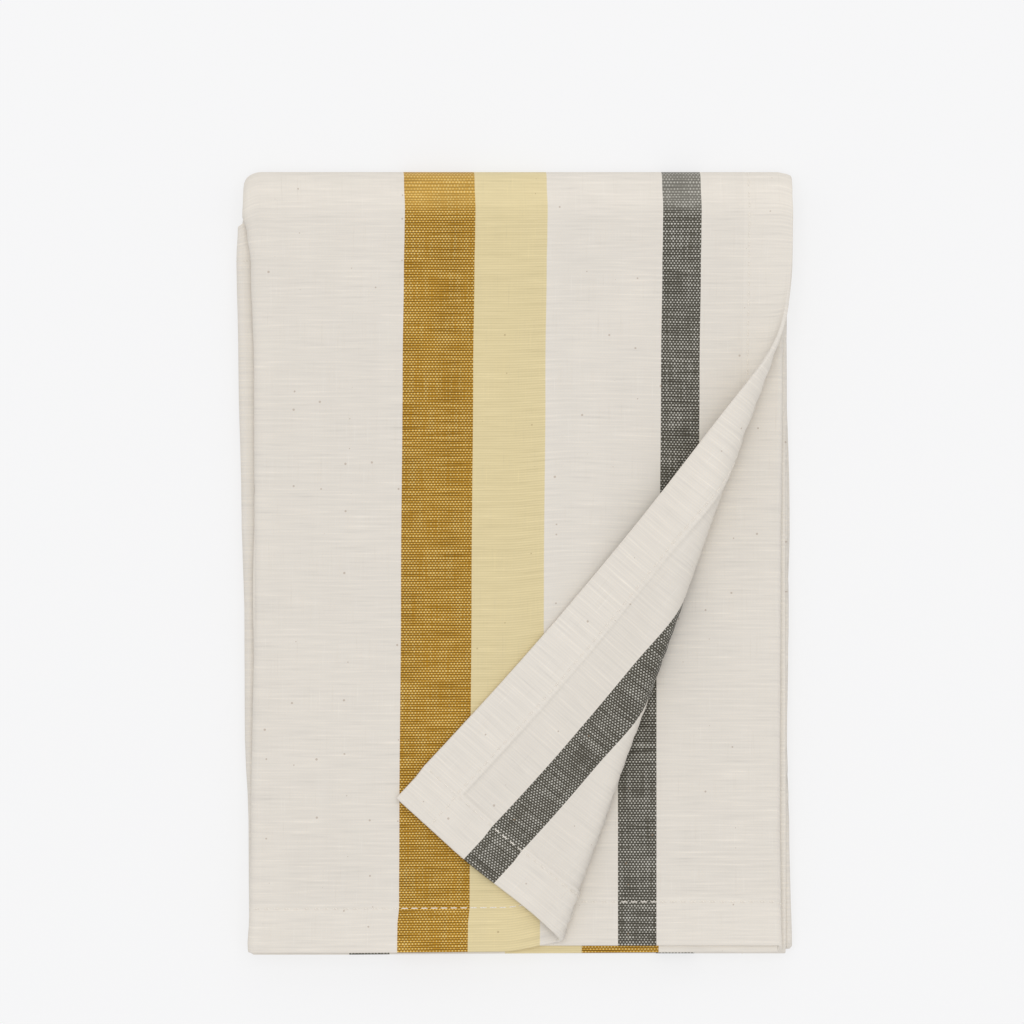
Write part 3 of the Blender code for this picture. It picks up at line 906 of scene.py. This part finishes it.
def woven_cotton():
    """Yarn-dyed plain weave: dyed warp, natural weft, painted shade between dyed yarns, slubs and specks.
    """
    material, tree, shader = new_material("striped_cotton")
    cloth = add(tree, "UVMap", uv_map="cloth")
    split = add(tree, "SeparateXYZ", cloth)
    u, v = split.outputs["X"], split.outputs["Y"]
    colour, dot_colour, contrast = dye_colours(tree, u)
    over, row = plain_weave(tree, u, v)
    # Thick places in the weft make its dots larger, and thick warp yarns make them smaller
    slubs = yarn_noise(tree, u, v, SLUB_LENGTH, WEFT_PITCH)
    warp_slubs = yarn_noise(tree, u, v, WARP_PITCH, SLUB_LENGTH)
    thicker = add(tree, "Math", slubs, warp_slubs, operation="SUBTRACT")
    swell = add(tree, "Math", thicker, SLUB_SWELL, operation="MULTIPLY")
    swollen = add(tree, "Math", over, swell, operation="SUBTRACT")
    dots = add(tree, "MapRange", swollen, DOT_FULL, DOT_NONE, DOT_SHARE, 0.0, **SMOOTH)
    # Painted highlight on the top fold: its weave is drawn paler and blurred
    fold_highlight = painted_fold_highlight(tree, v)
    highlight_blur = add(tree, "Math", fold_highlight, HIGHLIGHT_BLUR, operation="MULTIPLY")
    sharp = add(tree, "Math", 1.0, highlight_blur, operation="SUBTRACT")
    seen_dots = add(tree, "Math", dots, sharp, operation="MULTIPLY")
    highlight_paling = add(tree, "Math", fold_highlight, HIGHLIGHT_PALER, operation="MULTIPLY")
    paler = add(tree, "Math", seen_dots, highlight_paling, operation="ADD", use_clamp=True)
    colour = add(tree, "Mix", paler, colour, dot_colour, data_type="RGBA")
    light = lightness(tree, u, v, row, contrast, sharp, fold_highlight)
    lit = add(tree, "VectorMath", colour, light, operation="SCALE")
    speck = add(tree, "Math", seed_specks(tree, cloth), SPECK_SHARE, operation="MULTIPLY")
    specked = add(tree, "Mix", speck, lit, linear(SPECK_COLOUR), data_type="RGBA")
    tree.links.new(specked.outputs[2], shader.inputs["Base Color"])
    grid = add(tree, "Math", over, operation="ABSOLUTE")
    share = add(tree, "MapRange", contrast, 0.0, 1.0, NATURAL_BUMP, 1.0, **SMOOTH)
    yarns = add(tree, "Math", grid, share, operation="MULTIPLY")
    raised = add(tree, "Math", slubs, SLUB_HEIGHT, operation="MULTIPLY")
    height = add(tree, "Math", yarns, raised, operation="ADD")
    bump = add(tree, "Bump", Strength=YARN_BUMP, Distance=YARN_HEIGHT, Height=height)
    tree.links.new(bump.outputs[0], shader.inputs["Normal"])
    shader.inputs["Roughness"].default_value = 0.92
    shader.inputs["Specular IOR Level"].default_value = 0.2
    shader.inputs["Sheen Weight"].default_value = 0.12
    shader.inputs["Sheen Roughness"].default_value = 0.5
    return material


towel.data.materials.append(woven_cotton())
print("the cloth's material has", len(towel.data.materials[0].node_tree.nodes), "nodes")

# %% [markdown]
# ### The thread
#
# The hems are sewn with two-ply cotton thread. Its twist shows as slanting bands along each stitch,
# painted lighter on its ridges and darker in its grooves, and a Wave texture draws such bands.

# %% Cotton thread
# Painted shade and light of the twist: the colour in its grooves and the colour on its ridges
THREAD_SHADED, THREAD_LIT = "E0D9CC", "F0EADF"
TWIST_SCALE = 700.0  # makes a band every 0.9 mm along X or Y


def cotton_thread():
    """Spun cotton sewing thread, less rough than the cloth because its fibres are twisted tight."""
    material, tree, shader = new_material("cotton_thread")
    place = add(tree, "TexCoord").outputs["Object"]
    twist = add(tree, "TexWave", bands_direction="DIAGONAL", Vector=place, Scale=TWIST_SCALE)
    # The twist's painted shade in its grooves and painted light on its ridges
    twist_shading = linear(THREAD_SHADED), linear(THREAD_LIT)
    colour = add(tree, "Mix", twist.outputs["Fac"], *twist_shading, data_type="RGBA")
    tree.links.new(colour.outputs[2], shader.inputs["Base Color"])
    shader.inputs["Roughness"].default_value = 0.75
    shader.inputs["Specular IOR Level"].default_value = 0.3
    return material


hem_stitches.data.materials.append(cotton_thread())
print("materials:", [slot.name for piece in (towel, hem_stitches) for slot in piece.data.materials])

# %% [markdown]
# ## The stage
#
# A plain pale light table stands in a pale room, which lights it from all sides. A large soft light
# hangs straight above, and a second one behind the towel catches its top fold. The camera looks
# straight down through a long lens, so that the pile shows almost no perspective.

# %% Floor, lights and camera
FLOOR_SIZE = 6.0
TABLE_SHARE, TABLE_GLOW = 0.25, 0.67  # what it gives back of the light on it, and its own light
STIPPLE_SCALE, STIPPLE_BUMP, STIPPLE_HEIGHT = 300.0, 0.05, 0.2 * MM
LAMPS = {
    # place, side of the square in metres, power in watts
    "overhead": ((0, 0.05, 2.0), 1.4, 12),
    "behind": ((0.1, 1.5, 1.3), 1.2, 2.5),
}
ROOM_COLOUR, ROOM_LIGHT = "FBFBFF", 0.75
VIEW_WIDTH = 314.1 * MM  # how much of the table the camera sees
CAMERA_HEIGHT = 3.0
CAMERA_OVER = np.array([-0.77 * MM, 15.24 * MM, 0]) - CENTRE  # moved with the towel
FARTHEST_SEEN = 20


def opal_acrylic():
    """A light table's acrylic, lit from below, so that what lies on it casts almost no shadow."""
    material, tree, shader = new_material("opal_acrylic")
    place = add(tree, "TexCoord").outputs["Object"]
    stipple = add(tree, "TexNoise", Vector=place, Scale=STIPPLE_SCALE, Detail=2.0)
    height = stipple.outputs["Fac"]
    bump = add(tree, "Bump", Strength=STIPPLE_BUMP, Distance=STIPPLE_HEIGHT, Height=height)
    tree.links.new(bump.outputs[0], shader.inputs["Normal"])
    shader.inputs["Base Color"].default_value = (TABLE_SHARE, TABLE_SHARE, TABLE_SHARE, 1)
    shader.inputs["Roughness"].default_value = 0.9
    shader.inputs["Specular IOR Level"].default_value = 0.1
    shader.inputs["Emission Color"].default_value = (1, 1, 1, 1)
    shader.inputs["Emission Strength"].default_value = TABLE_GLOW
    return material


def aim_angles(aim):
    """Euler angles that turn an object's -Z along `aim`."""
    tilt = math.atan2(math.hypot(aim[0], aim[1]), -aim[2])
    return tilt, 0, math.atan2(aim[1], aim[0]) - math.pi / 2 if tilt > 1e-6 else 0


def area_light(name, place, size, power):
    """A square soft light that points at the origin, where the towel lies."""
    light = bpy.data.lights.new(name, "AREA")
    light.size, light.energy = size, power
    lamp = bpy.data.objects.new(name, light)
    lamp.location = place
    lamp.rotation_euler = aim_angles(-np.array(place))
    bpy.context.scene.collection.objects.link(lamp)


half = FLOOR_SIZE / 2
floor_points = np.array([(-half, -half, 0), (half, -half, 0), (half, half, 0), (-half, half, 0)])
floor = mesh_object("floor", floor_points, np.array([[0, 1, 2, 3]]))
floor.data.materials.append(opal_acrylic())
for name, (place, size, power) in LAMPS.items():
    area_light(name, place, size, power)
world = bpy.data.worlds.new("studio")
bpy.context.scene.world = world
world.use_nodes = True
background = world.node_tree.nodes["Background"]
background.inputs["Color"].default_value = linear(ROOM_COLOUR)
background.inputs["Strength"].default_value = ROOM_LIGHT
camera = bpy.data.objects.new("camera", bpy.data.cameras.new("camera"))
camera.data.lens = CAMERA_HEIGHT * camera.data.sensor_width / VIEW_WIDTH
camera.data.clip_end = FARTHEST_SEEN
camera.location = CAMERA_OVER + (0, 0, CAMERA_HEIGHT)
bpy.context.scene.collection.objects.link(camera)
bpy.context.scene.camera = camera
bpy.context.scene.view_settings.view_transform = "Standard"
print("lens", round(camera.data.lens), "mm")

# %% [markdown]
# ## Tie it to the frame
#
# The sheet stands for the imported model's cloth. The stitches belong to it, and ride on its body.

for piece in (towel, hem_stitches):
    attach(piece, "root")
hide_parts("tea_towel")
floor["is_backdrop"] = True
